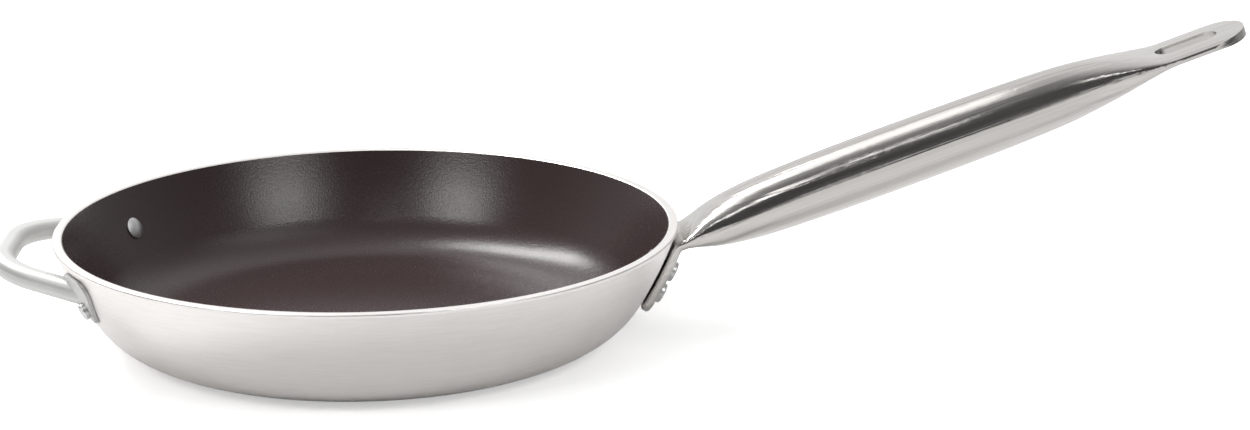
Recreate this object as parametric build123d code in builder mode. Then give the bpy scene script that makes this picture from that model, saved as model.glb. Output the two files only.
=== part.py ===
"""Omelette pan: a flared round pan with a riveted long handle and a riveted helper handle.

Lengths are in millimetres and angles in degrees. The origin is the centre of the base's
underside, +Z is up and +X points along the long handle.
"""
from build123d import *
from math import acos, atan2, copysign, cos, degrees, hypot, radians, sin, sqrt
import os

os.makedirs("parts", exist_ok=True)

# Pan body
rim_radius = 180.0
pan_height = 65.5
flare = 60.0
corner_radius = 47.0
wall_curve_radius = 262.0
wall_thickness = 5.0
lip_projection = 0.6
lip_height = 2.2
lip_round = 0.9
lip_under_round = 0.3
rim_bevel = 0.5
coating_thickness = 0.3

# Long handle: a tube that is pressed flat at both ends
handle_length = 350.0
handle_drop = 12.1
handle_tilt = 20.1
tube_radius = 18.9
tube_wall = 2.0
root_half_width = 23.0
root_thickness = 5.6
tongue_half_width = 23.5
tongue_thickness = 5.2
tongue_rise = 1.0
slot_length = 37.0
slot_width = 16.0
slot_end_margin = 16.0

# Blade: the flat end of the long handle, bent down along the wall
blade_length = 42.5
blade_clearance = 0.5
blade_corner_radius = 5.0
blade_edge_round = 2.2
bend_inside_radius = 2.0
blade_overlap = 8.0

# Helper handle: a bent bar with a pressed foot at each end
helper_reach = 35.0
helper_drop = 16.2
helper_tilt = 7.4
helper_bar_width = 13.6
helper_bar_height = 11.5
helper_bar_round = 5.0
helper_straight = 26.0
helper_bend_radius = 47.0
helper_bend_turn = 61.6
foot_shift = 15.0
foot_thickness = 2.0
foot_clearance = 0.2
foot_tip_radius = 5.6
foot_tip_drop = 3.5
foot_shoulder_width = 30.0
foot_shoulder_round = 7.0
foot_shoulder_rise = 12.0

# Rivets
inside_head_radius = 6.5
inside_head_height = 2.2
inside_head_edge = 0.7
blade_head_radius = 6.3
blade_head_height = 5.6
foot_head_radius = 4.8
foot_head_height = 3.0
outside_head_round = 1.0
blade_shank_radius = 3.2
foot_shank_radius = 2.6
shank_clearance = 0.1
inside_seat_clearance = 0.35
outside_seat_clearance = 0.05
upper_rivet_drop = 28.4
lower_rivet_drop = 40.8
foot_rivet_drop = 25.2

# Stations of the long handle: distance from the root as a share of its length, then how far
# the half width and the half height have gone from the flat size to the tube's radius.
press_shares = (
    (0.004, 0.06, -0.015),
    (0.025, 0.01, 0.14),
    (0.055, 0.12, 0.46),
    (0.097, 0.37, 0.735),
    (0.140, 0.66, 0.87),
    (0.183, 0.85, 0.93),
    (0.268, 1.00, 0.985),
    (0.395, 1.00, 1.00),
    (0.520, 0.99, 0.985),
)
tongue_shares = (
    (0.606, 1.14, 0.95),
    (0.648, 1.21, 0.915),
    (0.690, 1.19, 0.85),
    (0.733, 0.98, 0.71),
    (0.776, 0.59, 0.50),
    (0.818, 0.20, 0.225),
    (0.848, 0.03, 0.05),
    (0.872, 0.00, 0.00),
)
plate_squareness = 5
section_points = 24
cavity_least_share = 0.5

# The outside of the pan: a corner arc, then a wall arc that ends under the lip. The wall arc's
# centre makes a triangle with the corner arc's centre and the lip's foot.
corner_centre = (rim_radius - flare, corner_radius)
lip_foot = (rim_radius - lip_projection, pan_height - lip_height)
lip_reach = (lip_foot[0] - corner_centre[0], lip_foot[1] - corner_centre[1])
lip_distance = hypot(lip_reach[0], lip_reach[1])
centre_distance = wall_curve_radius - corner_radius
triangle_turn = acos(
    (centre_distance ** 2 + lip_distance ** 2 - wall_curve_radius ** 2)
    / (2 * centre_distance * lip_distance)
)
corner_turn = degrees(atan2(lip_reach[1], lip_reach[0]) + triangle_turn) - 90
corner_slope = (sin(radians(corner_turn)), -cos(radians(corner_turn)))
corner_end = (
    corner_centre[0] + corner_radius * corner_slope[0],
    corner_centre[1] + corner_radius * corner_slope[1],
)
wall_centre = (
    corner_end[0] - wall_curve_radius * corner_slope[0],
    corner_end[1] - wall_curve_radius * corner_slope[1],
)
upper_rivet_height = pan_height - upper_rivet_drop
lower_rivet_height = pan_height - lower_rivet_drop
foot_rivet_height = pan_height - foot_rivet_drop

# The middle line of the long handle leaves the root point at the handle's tilt.
root_point = (rim_radius, pan_height - handle_drop)
handle_along = (cos(radians(handle_tilt)), sin(radians(handle_tilt)))
handle_up = (-handle_along[1], handle_along[0])


def wall_turn(height, stand_off):
    """The wall arc's turn from level where it reaches a height, at a stand-off from the wall."""
    return degrees(acos((wall_centre[1] - height) / (wall_curve_radius + stand_off)))


def turn_below(height, stand_off, length):
    """The turn from level at the point that lies a length along the wall below a height."""
    top_turn = wall_turn(height, stand_off)
    wall_length = radians(top_turn - corner_turn) * (wall_curve_radius + stand_off)
    if length < wall_length:
        return top_turn - degrees(length / (wall_curve_radius + stand_off))
    return corner_turn - degrees((length - wall_length) / (corner_radius + stand_off))


def wall_arcs(stand_off, height, start_turn=0):
    """Draw the corner arc and the wall arc up to a height, and give their two end points."""
    wall_start = max(start_turn, corner_turn)
    wall = CenterArc(
        wall_centre,
        wall_curve_radius + stand_off,
        270 + wall_start,
        wall_turn(height, stand_off) - wall_start,
    )
    if start_turn >= corner_turn:
        return wall @ 0, wall @ 1
    corner = CenterArc(
        corner_centre, corner_radius + stand_off, 270 + start_turn, corner_turn - start_turn
    )
    return corner @ 0, wall @ 1


def wall_outward(height):
    """The direction square to the wall at a height, as its radial and upward parts."""
    turn = radians(wall_turn(height, 0))
    return sin(turn), -cos(turn)


def wall_point(height):
    """The radius and height of the wall's outside at a height."""
    outward = wall_outward(height)
    return (
        wall_centre[0] + wall_curve_radius * outward[0],
        wall_centre[1] + wall_curve_radius * outward[1],
    )


def rivet_plane(azimuth, height):
    """A plane on the wall's outside, with its normal pointing straight out of the wall."""
    radius, level = wall_point(height)
    outward, upward = wall_outward(height)
    across, along = sin(radians(azimuth)), cos(radians(azimuth))
    return Plane(
        origin=(radius * along, radius * across, level),
        x_dir=(-across, along, 0),
        z_dir=(outward * along, outward * across, upward),
    )


def rivet_hole(azimuth, height, shank_radius):
    """Cut the hole of one rivet through everything in the wall's line there."""
    with Locations(rivet_plane(azimuth, height)):
        Cylinder(shank_radius + shank_clearance, 4 * (wall_thickness + root_thickness),
                 mode=Mode.SUBTRACT)


def handle_point(distance, rise=0):
    """A point in the handle's middle plane, as its radius and height."""
    return (
        root_point[0] + distance * handle_along[0] + rise * handle_up[0],
        root_point[1] + distance * handle_along[1] + rise * handle_up[1],
    )


def handle_section_plane(distance, rise=0):
    """The plane square to the long handle at a distance from its root."""
    x, z = handle_point(distance, rise)
    return Plane(origin=(x, 0, z), x_dir=(0, 1, 0), z_dir=(handle_along[0], 0, handle_along[1]))


def handle_meets_wall(stand_off, rise):
    """Where a line beside the handle's middle line meets the wall at a stand-off."""
    start = handle_point(0, rise)
    gap = (start[0] - wall_centre[0], start[1] - wall_centre[1])
    along = gap[0] * handle_along[0] + gap[1] * handle_along[1]
    square = gap[0] ** 2 + gap[1] ** 2 - (wall_curve_radius + stand_off) ** 2
    return handle_point(sqrt(along ** 2 - square) - along, rise)


def helper_foot_azimuth():
    """How far round the wall each foot's rivet is from the handle's middle."""
    turn = radians(helper_bend_turn)
    arm = (sin(turn), cos(turn))
    bend_end = (
        helper_bar_width / 2 - helper_reach - rim_radius + helper_bend_radius * (1 - arm[1]),
        helper_straight / 2 + helper_bend_radius * arm[0],
    )
    wall_radius = wall_point(pan_height - helper_drop)[0]
    along = bend_end[0] * arm[0] + bend_end[1] * arm[1]
    square = bend_end[0] ** 2 + bend_end[1] ** 2 - wall_radius ** 2
    arm_length = -along - sqrt(along ** 2 - square)
    arm_end = (bend_end[0] + arm_length * arm[0], bend_end[1] + arm_length * arm[1])
    return degrees(atan2(arm_end[1], -arm_end[0]) + foot_shift / wall_radius)


def tube_section(half_width, half_height, squareness):
    """Draw a closed outline that is an ellipse at squareness 2 and boxy above it."""
    points = []
    for step in range(section_points):
        turn = radians(360 * step / section_points)
        across, up = cos(turn), sin(turn)
        points.append((
            copysign(half_width * abs(across) ** (2 / squareness), across),
            copysign(half_height * abs(up) ** (2 / squareness), up),
        ))
    with BuildLine() as outline:
        Spline(*points, periodic=True)
    make_face(outline.edges())


def nearest_corner(sketch, point):
    """The corner of a sketch that lies nearest to a point of its own plane."""
    return sketch.vertices().sort_by_distance(point)[0]


def handle_stations():
    """The long handle's stations: section plane, half width, half height and squareness."""
    stations = []
    for shares, half_width, thickness, full_rise in (
        (press_shares, root_half_width, root_thickness, 0),
        (tongue_shares, tongue_half_width, tongue_thickness, tongue_rise),
    ):
        for distance_share, width_share, height_share in shares:
            width = half_width + width_share * (tube_radius - half_width)
            height = thickness / 2 + height_share * (tube_radius - thickness / 2)
            squareness = 2 + (plate_squareness - 2) * (1 - height_share) ** 2
            section = handle_section_plane(
                distance_share * handle_length, full_rise * (1 - height_share)
            )
            stations.append((section, width, height, squareness))
    return stations


def rivet(azimuth, height, shank_radius, outside_seat, head_radius, head_height):
    """One rivet, square to the wall: a domed head inside, a shank and a round head outside."""
    seat = rivet_plane(azimuth, height)
    inside_seat = -(wall_thickness + coating_thickness + inside_seat_clearance)
    outer_face = outside_seat + outside_seat_clearance
    with BuildPart() as one_rivet:
        with BuildSketch(Plane(origin=seat.origin, x_dir=seat.z_dir, z_dir=seat.x_dir)) as half:
            with BuildLine():
                edge = (inside_seat - inside_head_edge, inside_head_radius)
                crown = (inside_seat - inside_head_height, 0)
                TangentArc(crown, edge, tangent=(0, 1))
                Polyline(
                    edge,
                    (inside_seat, inside_head_radius),
                    (inside_seat, shank_radius),
                    (outer_face, shank_radius),
                    (outer_face, head_radius),
                    (outer_face + head_height, head_radius),
                    (outer_face + head_height, 0),
                    crown,
                )
            make_face()
            fillet(
                nearest_corner(half, (outer_face + head_height, head_radius)), outside_head_round
            )
        revolve(axis=Axis(seat.origin, seat.z_dir))
    return one_rivet.part


foot_azimuth = helper_foot_azimuth()

# Pan body: base, wall and lip in one piece
with BuildPart() as pan_body:
    with BuildSketch(Plane.XZ) as body_half:
        with BuildLine():
            base_edge, under_lip = wall_arcs(0, pan_height - lip_height)
            floor_edge, rim_inside = wall_arcs(-wall_thickness, pan_height)
            Polyline(base_edge, (0, 0), (0, wall_thickness), floor_edge)
            Polyline(
                under_lip,
                (rim_radius, pan_height - lip_height),
                (rim_radius, pan_height),
                rim_inside,
            )
        make_face()
        fillet(nearest_corner(body_half, (rim_radius, pan_height)), lip_round)
        fillet(nearest_corner(body_half, (rim_radius, pan_height - lip_height)), lip_under_round)
        chamfer(nearest_corner(body_half, rim_inside), rim_bevel)
    revolve(axis=Axis.Z)
    rivet_hole(0, upper_rivet_height, blade_shank_radius)
    rivet_hole(0, lower_rivet_height, blade_shank_radius)
    rivet_hole(180 - foot_azimuth, foot_rivet_height, foot_shank_radius)
    rivet_hole(180 + foot_azimuth, foot_rivet_height, foot_shank_radius)
pan_body.part.label = "pan_body"
export_step(pan_body.part, "parts/pan_body.step")

# Nonstick coating: a thin skin over the inside, up to the bevel of the rim
with BuildPart() as nonstick_coating:
    with BuildSketch(Plane.XZ):
        with BuildLine():
            under_edge, under_top = wall_arcs(-wall_thickness, pan_height - rim_bevel)
            skin_edge, skin_top = wall_arcs(
                -wall_thickness - coating_thickness, pan_height - rim_bevel
            )
            Polyline(under_edge, (0, wall_thickness), (0, wall_thickness + coating_thickness),
                     skin_edge)
            Line(under_top, skin_top)
        make_face()
    revolve(axis=Axis.Z)
    rivet_hole(0, upper_rivet_height, blade_shank_radius)
    rivet_hole(0, lower_rivet_height, blade_shank_radius)
    rivet_hole(180 - foot_azimuth, foot_rivet_height, foot_shank_radius)
    rivet_hole(180 + foot_azimuth, foot_rivet_height, foot_shank_radius)
nonstick_coating.part.label = "nonstick_coating"
export_step(nonstick_coating.part, "parts/nonstick_coating.step")

# Long handle: the blade and its bend first, then the pressed tube and the tongue
blade_outside = blade_clearance + root_thickness
bend_top = handle_meets_wall(blade_clearance, root_thickness / 2)
bend_under = handle_meets_wall(blade_outside, -root_thickness / 2)
blade_turn = turn_below(bend_under[1], blade_outside, blade_length)
with BuildPart() as long_handle:
    with BuildSketch(Plane.XZ) as blade_side:
        with BuildLine():
            inner_foot, inner_top = wall_arcs(blade_clearance, bend_top[1], blade_turn)
            outer_foot, outer_top = wall_arcs(blade_outside, bend_under[1], blade_turn)
            Line(inner_foot, outer_foot)
            Polyline(
                inner_top,
                handle_point(blade_overlap, root_thickness / 2),
                handle_point(blade_overlap, -root_thickness / 2),
                outer_top,
            )
        make_face()
        fillet(nearest_corner(blade_side, inner_top), bend_inside_radius + root_thickness)
        fillet(nearest_corner(blade_side, outer_top), bend_inside_radius)
    extrude(amount=root_half_width, both=True)
    with BuildSketch(Plane.YZ) as blade_front:
        with Locations((0, outer_foot.Y)):
            Rectangle(2 * root_half_width, pan_height, align=(Align.CENTER, Align.MIN))
        fillet(blade_front.vertices().group_by(Axis.Y)[0], blade_corner_radius)
    extrude(amount=rim_radius + handle_length, mode=Mode.INTERSECT)
    overlap_end = handle_point(blade_overlap)[0]
    fillet(
        long_handle.edges().filter_by(
            lambda edge: edge.bounding_box().max.Z < inner_foot.Y + blade_edge_round
            or abs(edge.center().Y) > root_half_width - blade_corner_radius
            and edge.bounding_box().size.Y < root_half_width
            and edge.center().X < overlap_end - root_thickness / 2
        ),
        blade_edge_round,
    )

    # The tube: every section is square to the handle's middle line, and it is hollow between
    # the two pressed ends
    for section, half_width, half_height, squareness in handle_stations():
        with BuildSketch(section):
            tube_section(half_width, half_height, squareness)
    loft()
    with BuildSketch(handle_stations()[-1][0]):
        tube_section(tongue_half_width, tongue_thickness / 2, plate_squareness)
    extrude(amount=handle_length * (1 - tongue_shares[-1][0]) + tongue_thickness)
    for section, half_width, half_height, squareness in handle_stations():
        if half_height > cavity_least_share * tube_radius:
            with BuildSketch(section):
                tube_section(half_width - tube_wall, half_height - tube_wall, squareness)
    loft(mode=Mode.SUBTRACT)

    # The tongue's round end and its hanging slot
    tip_x, tip_z = handle_point(handle_length, tongue_rise)
    tongue_plane = Plane(
        origin=(tip_x, 0, tip_z),
        x_dir=(handle_along[0], 0, handle_along[1]),
        z_dir=(handle_up[0], 0, handle_up[1]),
    )
    with BuildSketch(tongue_plane):
        with Locations((tongue_half_width / 2, 0)):
            Rectangle(3 * tongue_half_width, 3 * tongue_half_width)
        with Locations((-tongue_half_width, 0)):
            Circle(tongue_half_width, mode=Mode.SUBTRACT)
    extrude(amount=tube_radius, both=True, mode=Mode.SUBTRACT)
    with BuildSketch(tongue_plane):
        with Locations((-slot_end_margin - slot_length / 2, 0)):
            SlotOverall(slot_length, slot_width)
    extrude(amount=tube_radius, both=True, mode=Mode.SUBTRACT)
    rivet_hole(0, upper_rivet_height, blade_shank_radius)
    rivet_hole(0, lower_rivet_height, blade_shank_radius)
long_handle.part.label = "long_handle"
export_step(long_handle.part, "parts/long_handle.step")


def foot(azimuth):
    """A helper handle's foot: a thin plate on the wall, with a round tip about its rivet."""
    with BuildPart() as plate:
        with BuildSketch(Plane.XZ):
            with BuildLine():
                low_inside, high_inside = wall_arcs(foot_clearance, pan_height - lip_height)
                low_outside, high_outside = wall_arcs(
                    foot_clearance + foot_thickness, pan_height - lip_height
                )
                Line(low_inside, low_outside)
                Line(high_inside, high_outside)
            make_face()
        revolve(axis=Axis.Z)
        across, along = sin(radians(azimuth)), cos(radians(azimuth))
        with BuildSketch(
            Plane(origin=(0, 0, foot_rivet_height), x_dir=(-across, along, 0),
                  z_dir=(along, across, 0))
        ):
            with Locations((0, -foot_tip_drop)):
                Circle(foot_tip_radius)
            shoulder = foot_shoulder_width / 2 - foot_shoulder_round
            with Locations((shoulder, foot_shoulder_rise), (-shoulder, foot_shoulder_rise)):
                Circle(foot_shoulder_round)
            make_hull()
        extrude(amount=2 * rim_radius, mode=Mode.INTERSECT)
    return plate.part


# Helper handle: the bar follows a bent path that rises outwards and ends half way into the
# two feet
rise_turn = radians(helper_tilt)
loop_plane = Plane(
    origin=(-rim_radius, 0, pan_height - helper_drop),
    x_dir=(cos(rise_turn), 0, -sin(rise_turn)),
    z_dir=(sin(rise_turn), 0, cos(rise_turn)),
)
with BuildPart() as helper_handle:
    with BuildLine(loop_plane) as loop:
        bar_middle = helper_bar_width / 2 - helper_reach
        middle = Line((bar_middle, 0), (bar_middle, helper_straight / 2))
        bend = JernArc(middle @ 1, middle % 1, helper_bend_radius, -helper_bend_turn)
        Line(bend @ 1, bend @ 1 + (bend % 1) * rim_radius / 3)
        mirror(about=Plane.XZ)
    bar_start = loop.wire() % 0
    with BuildSketch(
        Plane(origin=loop.wire() @ 0, x_dir=bar_start.cross(loop_plane.z_dir), z_dir=bar_start)
    ):
        RectangleRounded(helper_bar_width, helper_bar_height, helper_bar_round)
    sweep()
    with BuildSketch(Plane.XZ):
        with BuildLine():
            low_face, high_face = wall_arcs(foot_clearance + foot_thickness / 2, pan_height)
            Polyline(low_face, (0, low_face.Y), (0, high_face.Y), high_face)
        make_face()
    revolve(axis=Axis.Z, mode=Mode.SUBTRACT)
    add(foot(180 - foot_azimuth))
    add(foot(180 + foot_azimuth))
    rivet_hole(180 - foot_azimuth, foot_rivet_height, foot_shank_radius)
    rivet_hole(180 + foot_azimuth, foot_rivet_height, foot_shank_radius)
helper_handle.part.label = "helper_handle"
export_step(helper_handle.part, "parts/helper_handle.step")

# Rivets: two in line on the blade, one in each foot
blade_seat = blade_clearance + root_thickness
foot_seat = foot_clearance + foot_thickness
for name, azimuth, height, shank_radius, seat, head_radius, head_height in (
    ("long_handle_rivet_upper", 0, upper_rivet_height, blade_shank_radius, blade_seat,
     blade_head_radius, blade_head_height),
    ("long_handle_rivet_lower", 0, lower_rivet_height, blade_shank_radius, blade_seat,
     blade_head_radius, blade_head_height),
    ("helper_handle_rivet_left", 180 - foot_azimuth, foot_rivet_height, foot_shank_radius,
     foot_seat, foot_head_radius, foot_head_height),
    ("helper_handle_rivet_right", 180 + foot_azimuth, foot_rivet_height, foot_shank_radius,
     foot_seat, foot_head_radius, foot_head_height),
):
    one_rivet = rivet(azimuth, height, shank_radius, seat, head_radius, head_height)
    one_rivet.label = name
    export_step(one_rivet, f"parts/{name}.step")
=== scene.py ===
"""Dresses the omelette pan: a finish for each of its pieces, a studio around it and the camera.

Everything is in metres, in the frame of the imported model: the origin is the centre of the
base's underside, +Z is up and +X points along the long handle.
"""
import bpy
from math import pi, radians
from mathutils import Matrix, Vector

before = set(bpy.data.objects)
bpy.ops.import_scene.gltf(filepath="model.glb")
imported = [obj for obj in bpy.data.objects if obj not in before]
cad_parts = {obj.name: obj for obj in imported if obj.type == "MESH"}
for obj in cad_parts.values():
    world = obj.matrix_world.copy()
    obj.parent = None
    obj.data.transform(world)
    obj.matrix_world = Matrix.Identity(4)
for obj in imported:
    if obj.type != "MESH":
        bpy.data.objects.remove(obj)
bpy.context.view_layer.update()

bl_info = {
    "name": "Omelette Pan Dresser",
    "version": (1, 0, 0),
    "blender": (4, 5, 0),
    "location": "View3D > Sidebar > Omelette Pan",
    "description": "Finishes the omelette pan's pieces and sets up its studio",
    "category": "Object",
}

WHITE = (1.0, 1.0, 1.0, 1.0)

# Where a Mix node keeps its two colours and its mixed colour
FIRST_COLOUR = 6
SECOND_COLOUR = 7
MIXED_COLOUR = 2

# Points and lines on the pan that the lamps are aimed at or lie along
PAN_MIDDLE = (0, 0, 0.05)
HANDLE_ROOT = (0.25, 0, 0.09)
HANDLE_GRIP = (0.26, 0, 0.09)
HANDLE_ALONG = (0.939, 0, 0.344)

# The studio's lamps: name, place, point aimed at, line that the width follows, width and
# height, and radiance
LAMPS = (
    ("top_softbox", (0.19, 0.045, 0.37), HANDLE_GRIP, HANDLE_ALONG, (0.26, 0.145), 1.1),
    ("strip_softbox", (-0.19, -1.22, 1.54), HANDLE_ROOT, (1, 0, 0), (0.4, 0.2), 3.3),
    ("left_softbox", (-1.3, -1.36, 1.58), PAN_MIDDLE, (1.36, -1.3, 0), (0.95, 0.6), 8.1),
    ("right_softbox", (1.25, -1.35, 1.45), PAN_MIDDLE, (1.35, 1.25, 0), (0.95, 0.6), 6.2),
    ("back_left_softbox", (-0.85, 0.8, 1.4), (0.1, 0.1, 0), (-0.7, -0.95, 0), (0.35, 1.1), 18.5),
)

# The camera's place and the way it is turned
CAMERA_PLACE = (0.07661, -1.46182, 0.46868)
CAMERA_RIGHT = Vector((0.99873, -0.05037, -0.00236))
CAMERA_UPWARD = Vector((0.01559, 0.2641, 0.96437))
CAMERA_FORWARD = Vector((0.04795, 0.96318, -0.26455))


class PanMetalSettings(bpy.types.PropertyGroup):
    """The satin aluminium of the pan, its rivets and the helper handle."""

    pan_colour: bpy.props.FloatVectorProperty(
        name="Pan colour", description="Colour of the pan's aluminium",
        default=(0.89, 0.865, 0.845), subtype="COLOR", min=0, max=1,
    )
    pan_roughness: bpy.props.FloatProperty(
        name="Pan roughness", description="Mean roughness of the brushed outside",
        default=0.40, min=0, max=1, subtype="FACTOR",
    )
    helper_colour: bpy.props.FloatVectorProperty(
        name="Helper colour", description="Colour of the helper handle's metal",
        default=(0.60, 0.60, 0.59), subtype="COLOR", min=0, max=1,
    )
    helper_roughness: bpy.props.FloatProperty(
        name="Helper roughness", description="Mean roughness of the helper handle",
        default=0.56, min=0, max=1, subtype="FACTOR",
    )
    rivet_colour: bpy.props.FloatVectorProperty(
        name="Rivet colour", description="Colour of the rivets",
        default=(0.66, 0.66, 0.66), subtype="COLOR", min=0, max=1,
    )
    rivet_roughness: bpy.props.FloatProperty(
        name="Rivet roughness", description="Mean roughness of the rivets",
        default=0.36, min=0, max=1, subtype="FACTOR",
    )


class CoatingSettings(bpy.types.PropertyGroup):
    """The dark nonstick lining."""

    colour: bpy.props.FloatVectorProperty(
        name="Colour", description="Colour of the nonstick lining",
        default=(0.042, 0.0245, 0.0245), subtype="COLOR", min=0, max=1,
    )
    roughness: bpy.props.FloatProperty(
        name="Roughness", description="Mean roughness of the lining",
        default=0.26, min=0, max=1, subtype="FACTOR",
    )
    peel_size: bpy.props.FloatProperty(
        name="Peel size", description="Size of the orange-peel dimples",
        default=0.0011, min=0, unit="LENGTH", precision=5,
    )


class HandleSteelSettings(bpy.types.PropertyGroup):
    """The polished steel of the long handle."""

    colour: bpy.props.FloatVectorProperty(
        name="Colour", description="Colour of the handle's steel",
        default=(0.54, 0.523, 0.503), subtype="COLOR", min=0, max=1,
    )
    roughness: bpy.props.FloatProperty(
        name="Roughness", description="Mean roughness of the polished steel",
        default=0.17, min=0, max=1, subtype="FACTOR",
    )
    tilt: bpy.props.FloatProperty(
        name="Tilt", description="How far the handle and its streaks rise from level",
        default=radians(20.1), unit="ROTATION",
    )
    streak_length: bpy.props.FloatProperty(
        name="Streak length", description="Length of a polishing streak",
        default=0.3, min=0, unit="LENGTH",
    )
    streak_width: bpy.props.FloatProperty(
        name="Streak width", description="Width of a polishing streak",
        default=0.0022, min=0, unit="LENGTH", precision=5,
    )


class StudioSettings(bpy.types.PropertyGroup):
    """Floor and camera."""

    floor_size: bpy.props.FloatProperty(
        name="Floor size", description="Side of the square floor",
        default=14.0, min=0, unit="LENGTH",
    )
    floor_colour: bpy.props.FloatVectorProperty(
        name="Floor colour", description="Colour of the floor",
        default=(0.95, 0.95, 0.95), subtype="COLOR", min=0, max=1,
    )
    lens: bpy.props.FloatProperty(
        name="Lens", description="Focal length of the camera",
        default=74.88, min=1, unit="CAMERA",
    )
    sensor_width: bpy.props.FloatProperty(
        name="Sensor width", description="Width of the camera's sensor",
        default=36.0, min=1, unit="CAMERA",
    )


def add_node(tree, kind, inputs=None, **settings):
    """Add one node, set its options, and fill or link its inputs."""
    node = tree.nodes.new(kind)
    for name, value in settings.items():
        setattr(node, name, value)
    for name, value in (inputs or {}).items():
        if isinstance(value, bpy.types.NodeSocket):
            tree.links.new(value, node.inputs[name])
        else:
            node.inputs[name].default_value = value
    return node


def math_node(tree, operation, first, second=0.0):
    """Add a math node and return its result."""
    return add_node(tree, "ShaderNodeMath", {0: first, 1: second}, operation=operation).outputs[0]


def vector_node(tree, operation, inputs):
    """Add a vector math node and return its outputs."""
    return add_node(tree, "ShaderNodeVectorMath", inputs, operation=operation).outputs


def noise(tree, place, scale=1.0, detail=2.0, roughness=0.5):
    """Add a noise texture at a place and return its mask from 0 to 1."""
    return add_node(
        tree, "ShaderNodeTexNoise",
        {"Vector": place, "Scale": scale, "Detail": detail, "Roughness": roughness},
    ).outputs["Fac"]


def ease(tree, value, start, end, first, last):
    """Go smoothly from a first to a last result while a value goes from start to end."""
    return add_node(
        tree, "ShaderNodeMapRange",
        {"Value": value, "From Min": start, "From Max": end, "To Min": first, "To Max": last},
        interpolation_type="SMOOTHSTEP",
    ).outputs["Result"]


def group_with_sockets(name, inputs, outputs):
    """Make a shader node group with named number sockets."""
    group = bpy.data.node_groups.new(name, "ShaderNodeTree")
    for socket_name, default in inputs:
        socket = group.interface.new_socket(
            name=socket_name, in_out="INPUT", socket_type="NodeSocketFloat"
        )
        socket.default_value = default
    for socket_name in outputs:
        group.interface.new_socket(
            name=socket_name, in_out="OUTPUT", socket_type="NodeSocketFloat"
        )
    return group, group.nodes.new("NodeGroupInput").outputs, group.nodes.new("NodeGroupOutput")


def ring_place(tree, turn, run, waves, rings):
    """A place for noise that changes slowly round the axis and fast across the rings."""
    around = vector_node(tree, "SCALE", {0: turn, "Scale": waves})[0]
    rise = math_node(tree, "MULTIPLY", run, rings)
    across = add_node(tree, "ShaderNodeCombineXYZ", {"Z": rise}).outputs[0]
    return vector_node(tree, "ADD", {0: around, 1: across})[0]


def brushing_group():
    """Fine brush marks and broad bands that run round the pan's axis, as two masks."""
    group, given, result = group_with_sockets(
        "Brushing round the axis",
        [("Marks per metre", 700.0), ("Waves per turn", 7.0), ("Bands per metre", 55.0)],
        ["Marks", "Bands"],
    )
    place = add_node(group, "ShaderNodeTexCoord").outputs["Object"]
    parts = add_node(group, "ShaderNodeSeparateXYZ", {0: place}).outputs
    flat = add_node(group, "ShaderNodeCombineXYZ", {"X": parts["X"], "Y": parts["Y"]}).outputs[0]
    radius = vector_node(group, "LENGTH", {0: flat})["Value"]
    turn = vector_node(group, "NORMALIZE", {0: flat})[0]
    run = math_node(group, "ADD", radius, parts["Z"])
    fine = ring_place(group, turn, run, given["Waves per turn"], given["Marks per metre"])
    broad = ring_place(group, turn, run, 1.0, given["Bands per metre"])
    group.links.new(noise(group, fine, detail=3.0, roughness=0.7), result.inputs["Marks"])
    group.links.new(noise(group, broad), result.inputs["Bands"])
    return group


def grain_group():
    """Fine grain that looks the same in every direction, built once for all its materials."""
    name = "Fine grain"
    if name in bpy.data.node_groups:
        return bpy.data.node_groups[name]
    group, given, result = group_with_sockets(
        name, [("Grains per metre", 900.0), ("Detail", 3.0)], ["Grain"]
    )
    place = add_node(group, "ShaderNodeTexCoord").outputs["Object"]
    grain = noise(group, place, given["Grains per metre"], given["Detail"])
    group.links.new(grain, result.inputs["Grain"])
    return group


def use_group(tree, group, inputs=None):
    """Place a node group in a material, with its own values, and return its outputs."""
    return add_node(tree, "ShaderNodeGroup", inputs, node_tree=group).outputs


def new_material(name):
    """Make a node material and return it with its tree and its Principled shader."""
    material = bpy.data.materials.new(name)
    material.use_nodes = True
    shader = material.node_tree.nodes["Principled BSDF"]
    return material, material.node_tree, shader


def new_metal(name):
    """Make a material as new_material does, with a shader that is all metal."""
    material, tree, shader = new_material(name)
    shader.inputs["Metallic"].default_value = 1.0
    return material, tree, shader


def shade(colour, share):
    """A colour made darker or lighter by a share, without going past white."""
    return tuple(min(share * part, 1.0) for part in colour) + (1.0,)


def vary_colour(tree, shader, mask, first, second):
    """Mix the shader's colour from a first and a second one by a mask."""
    tone = add_node(
        tree, "ShaderNodeMix", {"Factor": mask, FIRST_COLOUR: first, SECOND_COLOUR: second},
        data_type="RGBA",
    )
    tree.links.new(tone.outputs[MIXED_COLOUR], shader.inputs["Base Color"])


def vary_roughness(tree, shader, mask, mean, spread):
    """Vary the shader's roughness on both sides of its mean by a mask."""
    mapped = add_node(
        tree, "ShaderNodeMapRange",
        {"Value": mask, "To Min": mean - spread, "To Max": mean + spread},
    ).outputs["Result"]
    tree.links.new(mapped, shader.inputs["Roughness"])


def add_bump(tree, shader, height, strength, distance):
    """Feed a height into the shader's normal."""
    bump = add_node(
        tree, "ShaderNodeBump", {"Height": height, "Strength": strength, "Distance": distance}
    )
    tree.links.new(bump.outputs["Normal"], shader.inputs["Normal"])


def brushed_pan_material(colour, roughness):
    """Satin aluminium, brushed round the pan's axis."""
    material, tree, shader = new_metal("Brushed aluminium")
    brushing = use_group(tree, brushing_group())
    vary_colour(tree, shader, brushing["Marks"], shade(colour, 0.84), shade(colour, 1.0))
    vary_roughness(tree, shader, brushing["Bands"], roughness, spread=0.06)
    add_bump(tree, shader, brushing["Marks"], strength=0.5, distance=0.0003)
    return material


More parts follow.
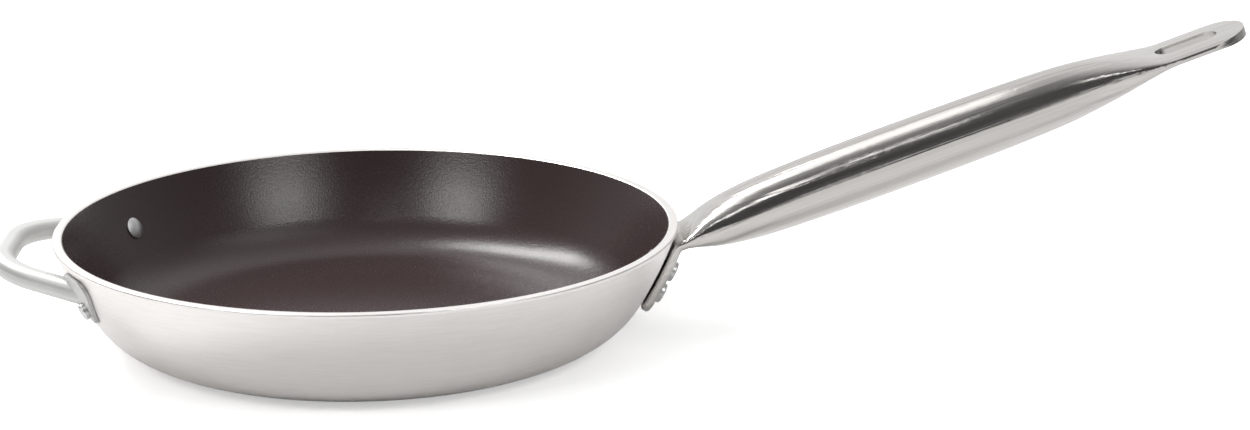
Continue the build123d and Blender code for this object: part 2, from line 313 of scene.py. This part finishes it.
def coating_material(colour, roughness, peel_size):
    """Dark semi-gloss lining with a fine orange-peel surface."""
    material, tree, shader = new_material("Nonstick lining")
    peel = use_group(
        tree, grain_group(), {"Grains per metre": 1 / peel_size, "Detail": 2.0}
    )["Grain"]
    shader.inputs["Base Color"].default_value = (*colour, 1.0)
    vary_roughness(tree, shader, peel, roughness, spread=0.05)
    add_bump(tree, shader, peel, strength=0.4, distance=0.00025)
    return material


def steel_material(steel):
    """Polished steel with streaks along the handle."""
    material, tree, shader = new_metal("Polished steel")
    place = add_node(tree, "ShaderNodeTexCoord").outputs["Object"]
    along = add_node(
        tree, "ShaderNodeMapping",
        {
            "Vector": place,
            "Rotation": (0, -steel.tilt, 0),
            "Scale": (steel.streak_length, steel.streak_width, steel.streak_width),
        },
        vector_type="TEXTURE",
    ).outputs[0]
    streaks = noise(tree, along, detail=4.0)
    vary_colour(tree, shader, streaks, shade(steel.colour, 0.72), shade(steel.colour, 1.24))
    vary_roughness(tree, shader, streaks, steel.roughness, spread=0.08)
    add_bump(tree, shader, streaks, strength=0.6, distance=0.0003)
    return material


def satin_material(name, colour, roughness):
    """Satin metal with a fine grain, for small pieces."""
    material, tree, shader = new_metal(name)
    grain = use_group(tree, grain_group())["Grain"]
    shader.inputs["Base Color"].default_value = (*colour, 1.0)
    vary_roughness(tree, shader, grain, roughness, spread=0.07)
    add_bump(tree, shader, grain, strength=0.15, distance=0.0002)
    return material


def finish_node(name, material):
    """Give a CAD node its material."""
    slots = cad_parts[name].data.materials
    for index in range(len(slots)):
        slots[index] = material


class PAN_OT_finish_metal(bpy.types.Operator):
    """Give the pan body its brushed aluminium"""

    bl_idname = "pan.finish_metal"
    bl_label = "Finish the pan body"

    def execute(self, context):
        metal = context.scene.pan_metal
        finish_node("pan_body", brushed_pan_material(metal.pan_colour, metal.pan_roughness))
        return {"FINISHED"}


class PAN_OT_finish_coating(bpy.types.Operator):
    """Give the inside its nonstick lining"""

    bl_idname = "pan.finish_coating"
    bl_label = "Finish the lining"

    def execute(self, context):
        coating = context.scene.pan_coating
        finish_node("nonstick_coating", coating_material(
            coating.colour, coating.roughness, coating.peel_size
        ))
        return {"FINISHED"}


class PAN_OT_finish_handles(bpy.types.Operator):
    """Give both handles and the rivets their metal"""

    bl_idname = "pan.finish_handles"
    bl_label = "Finish the handles"

    def execute(self, context):
        metal = context.scene.pan_metal
        finish_node("long_handle", steel_material(context.scene.pan_handle_steel))
        finish_node("helper_handle", satin_material(
            "Satin metal", metal.helper_colour, metal.helper_roughness
        ))
        rivet_metal = satin_material("Rivet metal", metal.rivet_colour, metal.rivet_roughness)
        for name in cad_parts:
            if "rivet" in name:
                finish_node(name, rivet_metal)
        return {"FINISHED"}


def add_softbox(name, place, aim, along, size, radiance):
    """Add a rectangular area light at a place, aimed at a point, with its width along a line."""
    light = bpy.data.lights.new(name, "AREA")
    light.shape = "RECTANGLE"
    light.size, light.size_y = size
    light.energy = radiance * pi * size[0] * size[1]
    lamp = bpy.data.objects.new(name, light)
    backward = (Vector(place) - Vector(aim)).normalized()
    upward = backward.cross(Vector(along)).normalized()
    turn = Matrix((upward.cross(backward), upward, backward)).transposed().to_4x4()
    lamp.matrix_world = Matrix.Translation(place) @ turn
    bpy.context.scene.collection.objects.link(lamp)


def studio_world():
    """A white room that is darker behind the camera and at both sides."""
    world = bpy.data.worlds.new("Studio room")
    world.use_nodes = True
    tree = world.node_tree
    tree.nodes.clear()
    direction = add_node(tree, "ShaderNodeTexCoord").outputs["Generated"]
    parts = add_node(tree, "ShaderNodeSeparateXYZ", {0: direction}).outputs
    depth = ease(tree, parts["Y"], start=-0.85, end=0.6, first=0.08, last=1.0)
    sideways = math_node(tree, "ABSOLUTE", parts["X"])
    side = ease(tree, sideways, start=0.35, end=0.75, first=1.0, last=0.45)
    strength = math_node(tree, "MULTIPLY", depth, side)
    path = add_node(tree, "ShaderNodeLightPath").outputs
    room = add_node(tree, "ShaderNodeBackground", {"Color": WHITE, "Strength": strength})
    seen = add_node(tree, "ShaderNodeBackground", {"Color": WHITE, "Strength": 1.0})
    mixed = add_node(
        tree, "ShaderNodeMixShader",
        {0: path["Is Camera Ray"], 1: room.outputs[0], 2: seen.outputs[0]},
    )
    output = tree.nodes.new("ShaderNodeOutputWorld")
    tree.links.new(mixed.outputs[0], output.inputs["Surface"])
    return world


def floor_material(colour):
    """White floor that keeps the pan's shadow and is lifted a little for the camera alone."""
    material, tree, shader = new_material("Studio floor")
    shader.inputs["Base Color"].default_value = (*colour, 1.0)
    shader.inputs["Roughness"].default_value = 0.9
    shader.inputs["Specular IOR Level"].default_value = 0.0
    path = add_node(tree, "ShaderNodeLightPath").outputs
    lift = math_node(tree, "MULTIPLY", path["Is Camera Ray"], 0.45)
    shader.inputs["Emission Color"].default_value = WHITE
    tree.links.new(lift, shader.inputs["Emission Strength"])
    return material


def add_floor(size, colour):
    """Add the square floor that the pan stands on."""
    bpy.ops.object.select_all(action="DESELECT")
    bpy.ops.mesh.primitive_plane_add(size=size)
    floor = bpy.context.object
    floor.name = "studio_floor"
    floor.data.materials.append(floor_material(colour))


def add_camera(lens, sensor_width):
    """Add the camera that sees the pan from the front, and make it the scene's camera."""
    camera = bpy.data.cameras.new("photo_camera")
    camera.lens = lens
    camera.sensor_width = sensor_width
    camera.clip_end = 50.0
    viewer = bpy.data.objects.new("photo_camera", camera)
    turn = Matrix((CAMERA_RIGHT, CAMERA_UPWARD, -CAMERA_FORWARD)).transposed().to_4x4()
    viewer.matrix_world = Matrix.Translation(CAMERA_PLACE) @ turn
    bpy.context.scene.collection.objects.link(viewer)
    bpy.context.scene.camera = viewer


class PAN_OT_set_stage(bpy.types.Operator):
    """Add the floor, the studio lights and the camera"""

    bl_idname = "pan.set_stage"
    bl_label = "Set the stage"

    def execute(self, context):
        studio = context.scene.pan_studio
        add_floor(studio.floor_size, studio.floor_colour)
        context.scene.world = studio_world()
        for lamp in LAMPS:
            add_softbox(*lamp)
        add_camera(studio.lens, studio.sensor_width)
        return {"FINISHED"}


class PAN_PT_dresser(bpy.types.Panel):
    """Lists the steps that dress the pan"""

    bl_label = "Omelette Pan"
    bl_idname = "PAN_PT_dresser"
    bl_space_type = "VIEW_3D"
    bl_region_type = "UI"
    bl_category = "Omelette Pan"

    def draw(self, context):
        for operator in STEPS:
            self.layout.operator(operator.bl_idname)


SETTINGS = {
    "pan_metal": PanMetalSettings,
    "pan_coating": CoatingSettings,
    "pan_handle_steel": HandleSteelSettings,
    "pan_studio": StudioSettings,
}
STEPS = (
    PAN_OT_finish_metal,
    PAN_OT_finish_coating,
    PAN_OT_finish_handles,
    PAN_OT_set_stage,
)
CLASSES = (*SETTINGS.values(), *STEPS, PAN_PT_dresser)


def register():
    """Register the classes and hang the settings on the scene."""
    for one_class in CLASSES:
        bpy.utils.register_class(one_class)
    for name, group in SETTINGS.items():
        setattr(bpy.types.Scene, name, bpy.props.PointerProperty(type=group))


def unregister():
    """Take the settings and the classes away again."""
    for name in SETTINGS:
        delattr(bpy.types.Scene, name)
    for one_class in reversed(CLASSES):
        bpy.utils.unregister_class(one_class)


def main():
    """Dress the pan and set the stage."""
    register()
    bpy.context.scene.view_settings.view_transform = "Standard"
    bpy.ops.pan.finish_metal()
    bpy.ops.pan.finish_coating()
    bpy.ops.pan.finish_handles()
    bpy.ops.pan.set_stage()


if __name__ == "__main__":
    main()
